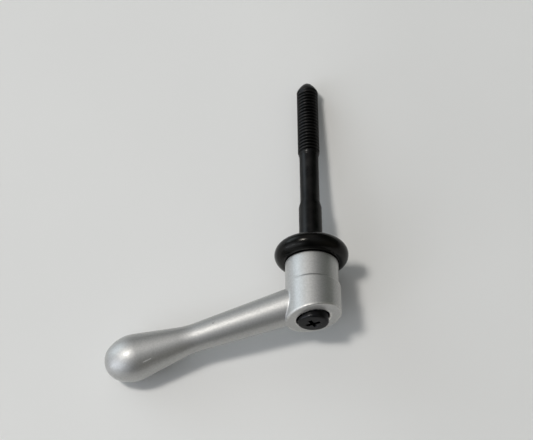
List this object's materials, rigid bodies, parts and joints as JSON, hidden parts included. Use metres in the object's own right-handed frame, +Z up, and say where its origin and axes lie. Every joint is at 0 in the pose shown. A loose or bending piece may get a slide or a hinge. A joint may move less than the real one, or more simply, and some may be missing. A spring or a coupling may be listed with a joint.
{
  "type": "adjustable clamping lever",
  "caption": "Silver cast lever with a pear-shaped end, a sprung toothed hub, a rubber ring and a black threaded stud, for locking a machine's quill.",
  "frame": {"origin": "middle of the lying lever's bounding box, on the table", "axes": "+Z up from the table; +Y the way the stud's tip points, seen from above; the arm reaches toward -X"},
  "size_m": [0.0824, 0.1168, 0.0254],
  "materials": {
    "silver_paint": "metallic silver paint on die-cast zinc",
    "black_steel": "black oxide, slightly oily",
    "screw_steel": "black oxide",
    "spring_steel": "drawn spring wire",
    "black_rubber": "satin black rubber"
  },
  "bodies": {
    "stud": {"clamp_stud": "black_steel", "retaining_screw": "screw_steel", "seal_ring": "black_rubber"},
    "spring": {"spring": "spring_steel"},
    "handle": {"handle": "silver_paint"}
  },
  "joints": [
    {"name": "index_turn", "type": "hinge", "parent": "stud", "child": "spring", "pos_m": [0.02847, -0.01857, 0.01311], "axis": [0, -0.9923, 0.1241], "continuous": true},
    {"name": "lift", "type": "slide", "parent": "spring", "child": "handle", "axis": [0, -0.9923, 0.1241], "range_m": [0, 0.0049], "stiffness_N_per_m": 3000, "springref_m": -0.004, "deforming": ["spring"]}
  ]
}
